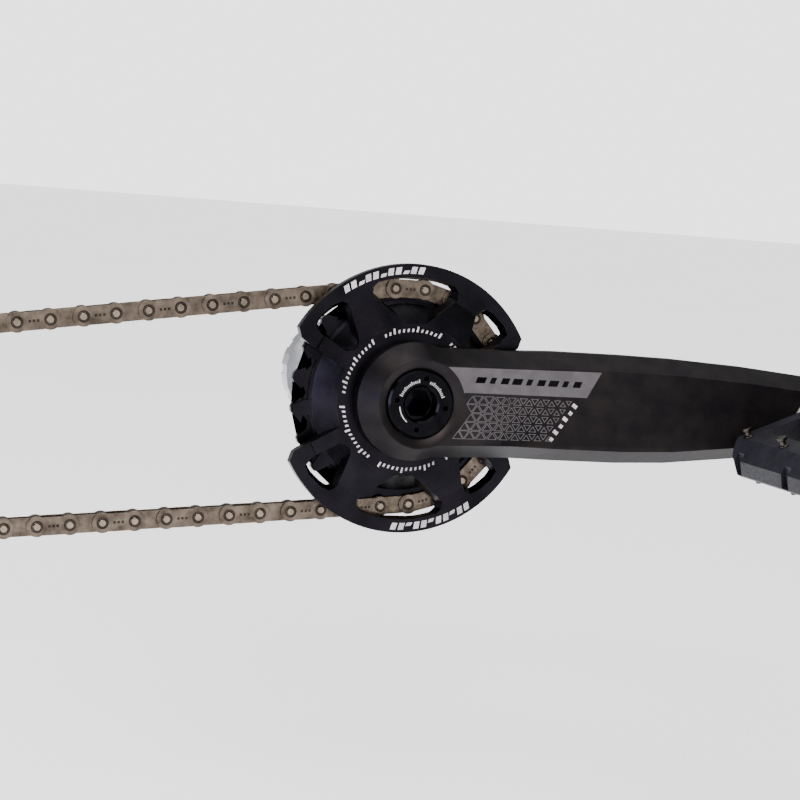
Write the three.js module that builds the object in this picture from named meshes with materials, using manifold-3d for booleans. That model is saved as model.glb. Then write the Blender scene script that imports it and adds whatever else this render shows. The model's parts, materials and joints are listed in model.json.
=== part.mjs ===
// Drive side of a bicycle crankset, in millimetres, +Z up and +X towards the front of the bicycle.
// The origin is the centre of the bottom bracket shell, on the spindle's axis. The drive side is at -Y.
// "Outboard" below is the distance from the middle plane of the teeth, counted away from the frame.

import * as THREE from 'three';
import { mergeVertices } from 'three/addons/utils/BufferGeometryUtils.js';
import Module from 'manifold-3d';

const wasm = await Module();
wasm.setup();

// ---------- driving dimensions ----------

const runningGap = 0.3;            // between any two pieces

// Bottom bracket
const shellHalf = 36.5;            // half the width of the frame's shell
const cupFloor = 1.4;
const cupLip = 0.6;
const cupWall = 2.2;
const cupThreadLength = 14.5;
const cupThreadWall = 1.8;
const cupNotches = 12;
const spindleClearance = 0.9;      // between the turning spindle and the threaded sleeves
const bearingWidth = 7;
const bearingSection = 5.7;        // radial thickness of a whole bearing
const raceHalfGap = 0.7;           // each race stands this far from the ball circle
const ballRadius = 1.6;
const ballCount = 8;
const dustRingReach = 2.9;         // how far a dust ring stands out past its cup

// Spindle, bolt and extractor
const spindleRadius = 14.5;
const spindleWall = 3.5;
const spindleFreeLength = 22.6;    // splined end past the far dust ring
const boltHeadStep = 1.7;          // the bolt's head stands this far over the spindle's bore
const boltHeadHeight = 3;
const boltReach = 14.4;            // length of thread inside the spindle
const hexSocket = 10;              // across flats
const socketDepth = 11;
const extractorInner = 6.9;
const extractorHeight = 3.7;
const pinHoleRadius = 1.1;

// Crank arm
const crankLength = 175;
const armThickness = 14;
const armFaceBevel = 6;
const armWeb = 2;                  // wall between the spindle's end and the bolt's head
const armEyeRear = 19;
const armEyeRadius = 17.4;
const armEyeRise = 0.7;
const armBossWall = 6.7;
const countersink = 3.1;
const recessStep = 1.2;
const splineWall = 2.9;            // of the boss that carries the chainring
const splineBehindTeeth = 3.3;

// Chainring with its built-in guard
const chainPitch = 12.7;
const toothCount = 22;
const wideToothHalf = 1.9;         // half thickness of the teeth that fill an outer link
const narrowToothHalf = 1.05;
const toothTipAboveRoot = 6.3;
const rollerRadius = 3.9;
const hubFront = 12;               // outboard face of the hub ring
const hubRear = 4;
const lockringWall = 4.3;
const coneRun = 7.6;               // width of the cone from the hub ring to the tooth plate
const coneThickness = 3.4;
const guardCover = 10.2;           // how far the guard stands over the chain's pitch circle
const guardFront = 9.5;
const guardThickness = 3.8;
const guardHalfAngle = 64;         // each wing reaches this far from the vertical
const rimWidth = 5.4;
const windowTaper = 2.8;           // each window is this much smaller all round at the back
const spokeAngle = 31.4;           // the two spokes of a wing lean this far from the vertical
const creaseInset = 5.4;           // from the rim's inner edge to the foot of a spoke's slope
const endStripWidth = 5.8;

// Chain
const plateThickness = 0.6;
const plateEndRadius = 4.1;
const plateWaist = 3.2;
const engagedTail = 3;             // pitches past each end of the wrap that stay clear of the rollers
const runPitches = 15;             // pitches of chain behind the ring, above and below
const lowerRunSlope = 4.49;        // degrees below level

// Pedal
const pedalTilt = 22;              // degrees, front end up
const pedalHalfLength = 45;
const pedalHalfThickness = 8.2;
const pedalUndercut = 6.5;         // each end's lower edge lies this far inside its nose
const pedalNoseBreak = 3;          // each end's upper edge lies this far inside its nose
const pedalWidth = 93.4;
const pedalCorner = 5;
const pedalBarrelWall = 2.2;
const railWidth = 15.5;
const sideRailWidth = 7;
const pedalPinInset = 9;
const pedalPinRadius = 2;
const pedalPinHeight = 4;
const pedalPinDepth = 5;
const washerThickness = 1;
const axleThreadRadius = 7;
const axleFlange = 3.4;
const axleBodyRadius = 6;
const axleTipRadius = 4.5;
const bushingWall = 1.7;
const pedalSealWidth = 1.8;
const axleStepInset = 32;          // from the pedal's outer end to where the axle narrows
const nutHeight = 5.2;

// ---------- sizes that follow ----------

const degree = Math.PI / 180;
const cupDepth = cupFloor + bearingWidth + cupLip;
const dustRingEnd = shellHalf + cupDepth + dustRingReach;
const chainLine = dustRingEnd + runningGap + splineBehindTeeth;   // tooth plane to the middle of the frame
const outboard = (distance) => -chainLine - distance;

const bearingInner = spindleRadius + runningGap;
const bearingOuter = bearingInner + bearingSection;
const cupBodyRadius = bearingOuter + runningGap + cupWall;
const cupThreadRadius = spindleRadius + spindleClearance + cupThreadWall;

const pitchRadius = chainPitch / (2 * Math.sin(Math.PI / toothCount));
const rootRadius = pitchRadius - rollerRadius - 0.1;
const tipRadius = rootRadius + toothTipAboveRoot;
const splineRadius = bearingInner + splineWall;
const ringBore = splineRadius + runningGap;
const lockringRadius = ringBore + lockringWall;
const coneFoot = rootRadius - 2.2;
const hubEdgeRadius = coneFoot - coneRun;
const guardRadius = pitchRadius + guardCover;
const guardRear = guardFront - guardThickness;
const windowOuterRadius = guardRadius - rimWidth;
const spokeCrease = windowOuterRadius - creaseInset;
const plateInner = wideToothHalf + 0.35;
const plateOuter = plateInner + plateThickness;

const armRear = hubFront + runningGap;
const armFront = armRear + armThickness;
const armEyeFront = armEyeRear + armThickness;
const extractorTo = armFront - runningGap;
const extractorFrom = extractorTo - extractorHeight;
const boltHeadTo = extractorFrom - runningGap;
const boltHeadFrom = boltHeadTo - boltHeadHeight;
const webTo = boltHeadFrom - runningGap;
const webFrom = webTo - armWeb;
const spindleOutboardEnd = webFrom - runningGap;
const spindleBore = spindleRadius - spindleWall;
const boltShank = spindleBore - runningGap;
const boltHeadRadius = spindleBore + boltHeadStep;
const recessRadius = boltHeadRadius + runningGap + recessStep;
const countersinkRadius = recessRadius + countersink;
const armBossRadius = countersinkRadius + armBossWall;

const washerFrom = armEyeFront + runningGap;
const washerTo = washerFrom + washerThickness;
const flangeFrom = washerTo + runningGap;
const flangeTo = flangeFrom + axleFlange;
const pedalInboard = flangeTo + runningGap;
const pedalOutboard = pedalInboard + pedalWidth;
const pedalBore = axleBodyRadius + 2 * runningGap + bushingWall;
const pedalBarrelRadius = pedalBore + pedalBarrelWall;

// ---------- materials ----------

function finish(color, roughness, metalness) {
  return new THREE.MeshStandardMaterial({ color, roughness, metalness });
}

const finishes = {
  anodised: finish(0x17161a, 0.42, 0.8),
  blasted: finish(0x2a282b, 0.6, 0.6),
  glossBlack: finish(0x101014, 0.18, 0.5),
  steel: finish(0x9a9a9c, 0.3, 1),
  darkSteel: finish(0x3a3a3d, 0.35, 1),
  chain: finish(0x8c7a68, 0.35, 1),
  rubber: finish(0x18181a, 0.8, 0),
  nylon: finish(0x1c1d24, 0.6, 0),
  bronze: finish(0x9b7a45, 0.4, 1),
};

// ---------- solids ----------

function toSolid(geometry) {
  const bare = geometry.clone();
  bare.deleteAttribute('normal');
  bare.deleteAttribute('uv');
  const welded = mergeVertices(bare, 1e-4);
  const vertProperties = new Float32Array(welded.attributes.position.array);
  const triVerts = new Uint32Array(welded.index.array);
  if (signedVolume(vertProperties, triVerts) < 0) turnInsideOut(triVerts);
  return new wasm.Manifold(new wasm.Mesh({ numProp: 3, vertProperties, triVerts }));
}

function signedVolume(points, triangles) {
  const corner = (i) => new THREE.Vector3().fromArray(points, 3 * triangles[i]);
  let volume = 0;
  for (let i = 0; i < triangles.length; i += 3) {
    volume += corner(i).dot(corner(i + 1).cross(corner(i + 2)));
  }
  return volume;
}

function turnInsideOut(triangles) {
  for (let i = 0; i < triangles.length; i += 3) {
    const first = triangles[i];
    triangles[i] = triangles[i + 1];
    triangles[i + 1] = first;
  }
}

function toGeometry(solid) {
  const mesh = solid.getMesh();
  const geometry = new THREE.BufferGeometry();
  geometry.setAttribute('position', new THREE.BufferAttribute(mesh.vertProperties, 3));
  geometry.setIndex(new THREE.BufferAttribute(mesh.triVerts, 1));
  return geometry;
}

function joined(solids) {
  return solids.reduce((whole, next) => whole.add(next));
}

// A side view in X and Z, given a thickness between two outboard distances.
function plate(shape, from, to, curveSegments = 10) {
  const geometry = new THREE.ExtrudeGeometry(shape, { depth: to - from, bevelEnabled: false, curveSegments });
  geometry.rotateX(Math.PI / 2);
  geometry.translate(0, outboard(from), 0);
  return toSolid(geometry);
}

// A closed profile of [radius, outboard distance] corners, turned about the spindle's axis.
function turned(profile, segments = 30) {
  const corners = [...profile, profile[0]];
  const points = corners.map(([radius, distance]) => new THREE.Vector2(radius, outboard(distance)));
  return toSolid(new THREE.LatheGeometry(points, segments));
}

function ring(inner, outer, from, to, segments = 30) {
  return turned([[inner, from], [outer, from], [outer, to], [inner, to]], segments);
}

function disc(radius, from, to, segments = 30) {
  return turned([[0, from], [radius, from], [radius, to], [0, to]], segments);
}

function at(solid, x, y, z) {
  return solid.translate([x, y, z]);
}

function polar(radius, angleInDegrees) {
  const angle = angleInDegrees * degree;
  return new THREE.Vector2(radius * Math.cos(angle), radius * Math.sin(angle));
}

function hexPrism(acrossFlats, from, to) {
  const corners = [];
  for (let i = 0; i < 6; i += 1) corners.push(polar(acrossFlats / Math.sqrt(3), 60 * i));
  return plate(new THREE.Shape(corners), from, to);
}

const crankset = new THREE.Group();

function addPart(name, solid, material, group = crankset) {
  const mesh = new THREE.Mesh(toGeometry(solid), material);
  mesh.name = name;
  group.add(mesh);
  return mesh;
}

// ---------- chainring and guard, machined from one plate ----------

function toothOutline() {
  const points = [];
  const step = 360 / toothCount;
  for (let tooth = 0; tooth < toothCount; tooth += 1) {
    const middle = 90 + tooth * step;
    for (const seat of [-48, 0, 48]) {
      const centre = polar(pitchRadius, middle - step / 2);
      const offset = polar(rollerRadius + 0.1, middle - step / 2 + 180 + seat);
      points.push(centre.add(offset));
    }
    points.push(polar(tipRadius - 0.8, middle - 2.6), polar(tipRadius, middle - 1.3));
    points.push(polar(tipRadius, middle + 1.3), polar(tipRadius - 0.8, middle + 2.6));
  }
  return new THREE.Shape(points);
}

// The thick tooth is the thin one, grown to fill the gap between outer plates.
function wideTooth(middle) {
  const corners = [
    polar(rootRadius - 1.5, middle - 4.5), polar(rootRadius + 0.8, middle - 4.2),
    polar(tipRadius - 0.9, middle - 2), polar(tipRadius - 0.9, middle + 2),
    polar(rootRadius + 0.8, middle + 4.2), polar(rootRadius - 1.5, middle + 4.5),
  ];
  return plate(new THREE.Shape(corners), -wideToothHalf, wideToothHalf);
}

function dishedHub() {
  return turned([
    [ringBore, hubRear], [ringBore, hubFront], [hubEdgeRadius, hubFront],
    [hubEdgeRadius + 0.5, hubFront - 1], [coneFoot, wideToothHalf + 0.4], [rootRadius - 0.9, wideToothHalf],
    [rootRadius - 0.9, -wideToothHalf], [coneFoot - coneThickness + 1, -wideToothHalf],
    [hubEdgeRadius - coneThickness - 2, hubRear],
  ], 44);
}

// A place on the strip that closes a wing: along it from rim to hub, and across it towards the window.
const stripLean = 90 - guardHalfAngle + 5;
const stripLength = guardRadius - hubEdgeRadius - 2.6;
function stripPoint(along, across) {
  const tip = polar(guardRadius - 3, 90 - guardHalfAngle);
  const inward = polar(-1, stripLean);
  const upward = polar(1, stripLean + 90);
  return tip.addScaledVector(inward, along).addScaledVector(upward, across);
}

function mirrored(points) {
  return points.map((point) => new THREE.Vector2(-point.x, point.y)).reverse();
}

// One wing's outline, without its windows: the rim's arc, and the strips back to the hub.
function wingOutline() {
  const start = 90 - guardHalfAngle + 3.4;
  const hubPoint = polar(hubEdgeRadius - 5.5, 18);
  const right = [hubPoint, stripPoint(stripLength, 0), stripPoint(1.5, 0), stripPoint(0, 0.2)];
  const shape = new THREE.Shape();
  shape.absarc(0, 0, guardRadius, start * degree, (180 - start) * degree, false);
  [...mirrored(right), ...right].forEach((point) => shape.lineTo(point.x, point.y));
  shape.closePath();
  return shape;
}

// The centre window narrows from the rim to the hub, and its outer corners are round.
function centreWindow() {
  const arcHalf = 19.5;
  const hubHalf = 7;
  const corner = polar(windowOuterRadius - 4, 90 - 24.2);
  const right = [polar(hubEdgeRadius, 90 - hubHalf), corner, polar(windowOuterRadius - 1.3, 90 - 22.5)];
  const shape = new THREE.Shape();
  shape.absarc(0, 0, windowOuterRadius, (90 - arcHalf) * degree, (90 + arcHalf) * degree, false);
  [...mirrored(right), ...right].forEach((point) => shape.lineTo(point.x, point.y));
  shape.closePath();
  return shape;
}

// A side window fills the corner between a spoke, the rim and the end strip.
function sideWindow(side) {
  const right = [
    stripPoint(stripLength - 3.5, endStripWidth), stripPoint(6, endStripWidth),
    polar(windowOuterRadius + 0.6, 34.5), polar(windowOuterRadius + 1.2, 39),
    polar(windowOuterRadius + 0.6, 47), polar(windowOuterRadius - 0.5, 51.2),
    polar(windowOuterRadius - 2.6, 53), polar(windowOuterRadius - 4.9, 53),
    polar(hubEdgeRadius + 1.9, 44.8), polar(hubEdgeRadius + 0.4, 40.8),
    polar(hubEdgeRadius + 0.8, 36.5),
  ];
  return new THREE.Shape(side > 0 ? right : mirrored(right));
}

// What is cut away for a window: its outline at the front, and a smaller one at the back.
function taperedCut(shape) {
  const points = shape.getPoints(8);
  const total = points.reduce((sum, point) => sum.add(point), new THREE.Vector2());
  const middle = total.divideScalar(points.length);
  const pulledIn = points.map((point) => {
    const inward = middle.clone().sub(point);
    return point.clone().addScaledVector(inward.normalize(), windowTaper);
  });
  const front = plate(new THREE.Shape(points), guardFront, hubFront + 2);
  const back = plate(new THREE.Shape(pulledIn), guardRear - 2, guardRear);
  return wasm.Manifold.hull([front, back]);
}

// A long bar whose top falls from the hub's face to the rim's face, lying along one direction.
function slopedBar(angle) {
  const shape = new THREE.Shape([
    new THREE.Vector2(20, guardRear), new THREE.Vector2(guardRadius + 4, guardRear),
    new THREE.Vector2(guardRadius + 4, guardFront), new THREE.Vector2(spokeCrease, guardFront),
    new THREE.Vector2(hubEdgeRadius - 0.4, hubFront), new THREE.Vector2(20, hubFront),
  ]);
  const width = 90;
  const geometry = new THREE.ExtrudeGeometry(shape, { depth: width, bevelEnabled: false });
  geometry.translate(0, 0, -width / 2);
  geometry.rotateX(Math.PI);                       // the profile's height now points outboard
  geometry.translate(0, -chainLine, 0);
  geometry.rotateY(-angle * degree);
  return toSolid(geometry);
}

function wing() {
  const blank = plate(wingOutline(), guardRear, hubFront, 20);
  const slopes = [1, -1].map((side) => {
    return blank.intersect(slopedBar(90 - side * spokeAngle)).trimByPlane([side, 0, 0], 0);
  });
  const rimCut = ring(spokeCrease, guardRadius + 5, guardFront, hubFront + 1, 40);
  const windows = [centreWindow(), sideWindow(1), sideWindow(-1)].map(taperedCut);
  return slopes[0].add(slopes[1]).subtract(rimCut).subtract(joined(windows));
}

function chainringSolid() {
  const teeth = plate(toothOutline(), -narrowToothHalf, narrowToothHalf)
    .subtract(disc(rootRadius - 3, -2, 2));
  const upper = wing().subtract(disc(ringBore + 2, 0, hubFront + 2));
  const lower = upper.rotate([0, 180, 0]);
  const wideTeeth = [];
  for (let tooth = 0; tooth < toothCount; tooth += 2) {
    wideTeeth.push(wideTooth(90 + tooth * 360 / toothCount));
  }
  return joined([dishedHub(), teeth, upper, lower, ...wideTeeth]);
}

addPart('chainring_guard', chainringSolid(), finishes.anodised);

const lockring = ring(ringBore, lockringRadius, runningGap - splineBehindTeeth, hubRear - runningGap);
addPart('chainring_lockring', lockring, finishes.darkSteel);

// ---------- crank arm ----------

// Half heights of the arm's inboard side, above and below the axis, at shares of the crank's length.
const armTop = [[0.23, 22.3], [0.34, 22.9], [0.51, 22.9], [0.64, 22.5], [0.83, 20.8]];
const armBottom = [[0.23, 21.5], [0.34, 21.9], [0.51, 22], [0.64, 21.2], [0.83, 17.9]];

function armOutline() {
  const shape = new THREE.Shape();
  const bossEnd = 68;
  shape.absarc(0, 0, armBossRadius, bossEnd * degree, (360 - bossEnd) * degree, false);
  armBottom.forEach(([share, depth]) => shape.lineTo(share * crankLength, -depth));
  shape.absarc(crankLength, armEyeRise, armEyeRadius, -84 * degree, 84 * degree, false);
  [...armTop].reverse().forEach(([share, height]) => shape.lineTo(share * crankLength, height));
  shape.closePath();
  return shape;
}

// Where the arm's inboard and outboard sides lie at this distance along it.
function armSides(x) {
  const rearShare = THREE.MathUtils.clamp((x / crankLength - 0.33) / 0.67, 0, 1);
  const frontShare = THREE.MathUtils.clamp((x / crankLength - 0.17) / 0.83, 0, 1);
  return [
    THREE.MathUtils.lerp(armRear, armEyeRear, rearShare),
    THREE.MathUtils.lerp(armFront, armEyeFront, frontShare),
  ];
}

// The arm is extruded with a slanted edge at an even thickness, cut into short lengths, and then each
// point is moved between the arm's sides.
function armBlank() {
  const bevelDepth = 9;
  const geometry = new THREE.ExtrudeGeometry(armOutline(), {
    depth: 2 * armThickness, bevelEnabled: true, bevelThickness: bevelDepth, bevelSize: armFaceBevel,
    bevelOffset: -armFaceBevel, bevelSegments: 1, curveSegments: 12,
  });
  const rearPart = new THREE.BoxGeometry(600, 200, 200);
  rearPart.translate(0, 0, armThickness + bevelDepth - 100);
  const front = toSolid(geometry).subtract(toSolid(rearPart));
  const bent = toGeometry(front.refineToLength(armThickness));
  const position = bent.attributes.position;
  for (let i = 0; i < position.count; i += 1) {
    const [rear, outer] = armSides(position.getX(i));
    const share = (position.getZ(i) - armThickness - bevelDepth) / armThickness;
    position.setZ(i, rear + share * (outer - rear));
  }
  bent.rotateX(Math.PI / 2);
  bent.translate(0, -chainLine, 0);
  return toSolid(bent);
}

function driveArm() {
  const bores = [
    disc(bearingInner, -splineBehindTeeth - 1, webFrom),
    disc(boltShank + runningGap, webFrom - 1, webTo + 1),
    disc(boltHeadRadius + runningGap, webTo, extractorFrom),
    disc(recessRadius, extractorFrom, armFront + 1),
    turned([[0, armFront - 1.6], [recessRadius, armFront - 1.6], [countersinkRadius, armFront],
      [countersinkRadius, armFront + 3], [0, armFront + 3]]),
    at(disc(axleThreadRadius + runningGap, armEyeRear - 9, armEyeFront + 2, 32), crankLength, 0, 0),
  ];
  const spline = ring(bearingInner, splineRadius, -splineBehindTeeth, armRear + 1);
  return armBlank().add(spline).subtract(joined(bores));
}

addPart('drive_crank_arm', driveArm(), finishes.blasted);

// ---------- spindle, crank bolt and extractor ring ----------

const spindleFarEnd = -chainLine - dustRingEnd - spindleFreeLength;
addPart('spindle', ring(spindleBore, spindleRadius, spindleFarEnd, spindleOutboardEnd), finishes.darkSteel);

const boltSolid = disc(boltShank, spindleOutboardEnd - boltReach, boltHeadFrom + 1)
  .add(disc(boltHeadRadius, boltHeadFrom, boltHeadTo))
  .subtract(hexPrism(hexSocket, boltHeadTo - socketDepth, boltHeadTo + 1));
addPart('crank_bolt', boltSolid, finishes.darkSteel);

function extractorRing() {
  const edge = 0.8;
  const outer = recessRadius - runningGap;
  const body = turned([
    [extractorInner, extractorFrom], [outer, extractorFrom],
    [outer, extractorTo - edge], [outer - edge, extractorTo],
    [extractorInner + edge, extractorTo], [extractorInner, extractorTo - edge],
  ]);
  const holes = [];
  for (let i = 0; i < 4; i += 1) {
    const place = polar((extractorInner + outer) / 2, 83 + 90 * i);
    holes.push(at(disc(pinHoleRadius, extractorFrom - 1, extractorTo + 1, 6), place.x, 0, place.y));
  }
  return body.subtract(joined(holes));
}

addPart('extractor_ring', extractorRing(), finishes.glossBlack);

// ---------- bottom bracket ----------

// The two sides are mirror images: side -1 is the drive side, +1 the other.
function bottomBracketSide(side, label) {
  const across = (from, to) => [side * from, side * to].map((y) => -y - chainLine);
  const sideRing = (inner, outer, from, to, segments) => ring(inner, outer, ...across(from, to), segments);
  const bearingFrom = shellHalf + cupFloor;
  const bearingTo = bearingFrom + bearingWidth;
  const cupTo = shellHalf + cupDepth;
  const threadFrom = shellHalf - cupThreadLength;
  const boreRadius = spindleRadius + spindleClearance;
  const cupBore = bearingOuter + runningGap;
  const cup = sideRing(boreRadius, cupThreadRadius, threadFrom, shellHalf + 1)
    .add(sideRing(boreRadius, cupBodyRadius, shellHalf, cupTo))
    .subtract(sideRing(boreRadius - 1, cupBore, bearingFrom - runningGap, cupTo + 1));
  const notches = [];
  for (let i = 0; i < cupNotches; i += 1) {
    const notch = new THREE.BoxGeometry(3, 5, 3.4);
    notch.translate(cupBodyRadius + 0.7, side * (cupTo - 2), 0);
    notch.rotateY(i * 2 * Math.PI / cupNotches);
    notches.push(toSolid(notch));
  }
  addPart(`bb_cup_${label}`, cup.subtract(joined(notches)), finishes.anodised);

  const ballCircle = (bearingOuter + bearingInner) / 2;
  const middle = (bearingFrom + bearingTo) / 2;
  const groove = ballRadius + runningGap;
  const grooved = (inner, outer) => sideRing(inner, outer, bearingFrom, bearingTo)
    .subtract(sideRing(ballCircle - groove, ballCircle + groove, middle - groove, middle + groove));
  addPart(`bearing_outer_race_${label}`, grooved(ballCircle + raceHalfGap, bearingOuter), finishes.steel);
  addPart(`bearing_inner_race_${label}`, grooved(bearingInner, ballCircle - raceHalfGap), finishes.steel);

  const balls = [sideRing(ballCircle - 0.35, ballCircle + 0.35, middle - 1.1, middle + 1.1, 20)];
  for (let i = 0; i < ballCount; i += 1) {
    const ball = new THREE.SphereGeometry(ballRadius, 6, 4);
    const place = polar(ballCircle, 360 * i / ballCount);
    ball.translate(place.x, side * middle, place.y);
    balls.push(toSolid(ball));
  }
  addPart(`bearing_balls_${label}`, joined(balls), finishes.steel);

  const sealFrom = bearingTo + runningGap;
  const sealTo = sealFrom + 1;
  const sleeveOuter = bearingInner + 1.9;
  const seal = sideRing(sleeveOuter + 0.7, bearingOuter, sealFrom, sealTo);
  addPart(`bearing_seal_${label}`, seal, finishes.rubber);
  const dustRing = sideRing(bearingInner, sleeveOuter, sealFrom, dustRingEnd)
    .add(sideRing(bearingInner, cupBodyRadius - 1.5, sealTo + runningGap, dustRingEnd));
  addPart(`dust_ring_${label}`, dustRing, finishes.anodised);
}

bottomBracketSide(-1, 'drive');
bottomBracketSide(1, 'nondrive');
const sleeveHalf = shellHalf - cupThreadLength - runningGap;
const sleeve = ring(spindleRadius + spindleClearance, cupThreadRadius - 0.6,
  -chainLine - sleeveHalf, -chainLine + sleeveHalf);
addPart('bb_sleeve', sleeve, finishes.nylon);

// ---------- chain ----------

const upperTangent = 90 + 180 / toothCount;
const lowerTangent = -90 + lowerRunSlope;
const wrapLength = (upperTangent - lowerTangent) * degree * pitchRadius;

// A pin's centre: 0 is where the upper run meets the ring, and the count rises over the front of the ring.
function chainPin(index) {
  const along = index * chainPitch;
  if (index <= 0) return polar(pitchRadius, upperTangent).add(polar(-along, upperTangent + 90));
  const turn = index * 360 / toothCount;
  if (upperTangent - turn >= lowerTangent) return polar(pitchRadius, upperTangent - turn);
  return polar(pitchRadius, lowerTangent).add(polar(along - wrapLength, lowerTangent - 90));
}

// One closed outline along a row of links: full height at each pin, waisted between pins, round at both ends.
function bandOutline(first, last) {
  const above = [];
  const below = [];
  for (let index = first; index < last; index += 1) {
    const from = chainPin(index);
    const to = chainPin(index + 1);
    const side = Math.atan2(to.y - from.y, to.x - from.x) / degree + 90;
    const middle = from.clone().lerp(to, 0.5);
    if (index > first) {
      above.push(polar(plateEndRadius, side).add(from));
      below.push(polar(-plateEndRadius, side).add(from));
    } else {
      for (const turn of [90, 50, 0]) above.push(polar(plateEndRadius, side + turn).add(from));
      below.push(polar(plateEndRadius, side + 130).add(from), polar(-plateEndRadius, side).add(from));
    }
    above.push(polar(plateWaist, side).add(middle));
    below.push(polar(-plateWaist, side).add(middle));
    if (index === last - 1) {
      for (const turn of [0, -50, -90]) above.push(polar(plateEndRadius, side + turn).add(to));
      below.push(polar(-plateEndRadius, side).add(to), polar(plateEndRadius, side - 130).add(to));
    }
  }
  return new THREE.Shape([...above, ...below.reverse()]);
}

function plateBand(first, last, from, to) {
  return plate(bandOutline(first, last), from, to);
}

function chainRun(first, last, freePin) {
  const pieces = [
    plateBand(first, last, plateInner, plateOuter), plateBand(first, last, -plateOuter, -plateInner),
  ];
  for (let index = first; index <= last; index += 1) {
    if (index === freePin) continue;
    const centre = chainPin(index);
    pieces.push(at(disc(rollerRadius, -plateInner - 0.2, plateInner + 0.2, 6), centre.x, 0, centre.y));
  }
  const clear = chainPin(freePin);
  const gap = at(disc(plateEndRadius + 2 * runningGap, -4, 4, 12), clear.x, 0, clear.y);
  return joined(pieces).subtract(gap);
}

const wrapEnd = Math.ceil(wrapLength / chainPitch) - 1 + engagedTail;
const lastPin = Math.round(wrapLength / chainPitch) + runPitches;
addPart('chain_wrap_outboard', plateBand(-engagedTail, wrapEnd, plateInner, plateOuter), finishes.chain);
addPart('chain_wrap_inboard', plateBand(-engagedTail, wrapEnd, -plateOuter, -plateInner), finishes.chain);
addPart('chain_upper_run', chainRun(-runPitches, -engagedTail, -engagedTail), finishes.chain);
addPart('chain_lower_run', chainRun(wrapEnd, lastPin, wrapEnd), finishes.chain);

// ---------- pedal ----------

const pedal = new THREE.Group();
pedal.position.set(crankLength, 0, 0);
pedal.rotation.y = -pedalTilt * degree;
crankset.add(pedal);

const sealStart = pedalInboard + 0.4;
const sealEnd = sealStart + pedalSealWidth;
const bushingFrom = sealEnd + runningGap;
const axleStep = pedalOutboard - axleStepInset;
const pedalBearingFrom = axleStep + 6;
const pedalBearingTo = pedalBearingFrom + bearingWidth;
const nutFrom = pedalBearingTo + runningGap;
const nutTo = nutFrom + nutHeight;

const washer = ring(axleThreadRadius + runningGap, axleThreadRadius + 3.2, washerFrom, washerTo, 24);
addPart('pedal_washer', washer, finishes.steel, pedal);

const axleSolid = joined([
  disc(axleThreadRadius, armEyeRear - 1, flangeFrom + 0.5, 24),
  disc(axleThreadRadius + 2, flangeFrom, flangeTo, 24),
  disc(axleBodyRadius, flangeTo - 0.5, axleStep, 24),
  disc(axleTipRadius, axleStep - 0.5, nutTo + 1, 24),
]);
addPart('pedal_axle', axleSolid, finishes.steel, pedal);

function barrelRing(inner, from, to) {
  return ring(inner + runningGap, pedalBore - runningGap, from, to, 28);
}

addPart('pedal_bushing', barrelRing(axleBodyRadius, bushingFrom, bushingFrom + 13.5), finishes.bronze, pedal);
addPart('pedal_seal', barrelRing(axleBodyRadius, sealStart, sealEnd), finishes.rubber, pedal);
addPart('pedal_bearing', barrelRing(axleTipRadius, pedalBearingFrom, pedalBearingTo), finishes.steel, pedal);
const nut = hexPrism(2 * axleTipRadius + 2.5, nutFrom, nutTo)
  .subtract(disc(axleTipRadius + runningGap, nutFrom - 1, nutTo + 1, 24));
addPart('pedal_axle_nut', nut, finishes.steel, pedal);
const endCap = disc(pedalBore - runningGap, nutTo + 2.5, pedalOutboard - 6, 28);
addPart('pedal_end_cap', endCap, finishes.nylon, pedal);

// Traction pins stand in two rows on each face, one row near each end of the platform.
const pedalMiddle = (pedalInboard + pedalOutboard) / 2;
const pinRow = pedalHalfLength - pedalPinInset;
const pinSpread = pedalOutboard - pedalInboard - 10;
const pinOffsets = [-0.5, -1 / 6, 1 / 6, 0.5].map((share) => share * pinSpread);
const pinPlaces = [];
for (const face of [1, -1]) {
  for (const end of [-1, 1]) {
    pinOffsets.forEach((offset) => pinPlaces.push({ face, x: end * pinRow, distance: pedalMiddle + offset }));
  }
}

function uprightPin(place, radius, foot, head) {
  const low = Math.min(place.face * foot, place.face * head);
  const geometry = new THREE.CylinderGeometry(radius, radius, Math.abs(head - foot), 8);
  geometry.rotateX(Math.PI / 2);
  geometry.translate(place.x, outboard(place.distance), low + Math.abs(head - foot) / 2);
  return toSolid(geometry);
}

function roundedRectangle(halfLength, from, to, corner) {
  const shape = new THREE.Shape();
  shape.absarc(halfLength - corner, from + corner, corner, -Math.PI / 2, 0, false);
  shape.absarc(halfLength - corner, to - corner, corner, 0, Math.PI / 2, false);
  shape.absarc(corner - halfLength, to - corner, corner, Math.PI / 2, Math.PI, false);
  shape.absarc(corner - halfLength, from + corner, corner, Math.PI, 1.5 * Math.PI, false);
  shape.closePath();
  return shape;
}

// A plan view in X and outboard distance, given a height up and down from the axle.
function slab(shape, halfHeight) {
  const depth = 2 * halfHeight;
  const geometry = new THREE.ExtrudeGeometry(shape, { depth, bevelEnabled: false, curveSegments: 4 });
  geometry.translate(0, 0, -halfHeight);
  geometry.rotateX(Math.PI);
  geometry.translate(0, -chainLine, 0);
  return toSolid(geometry);
}

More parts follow.
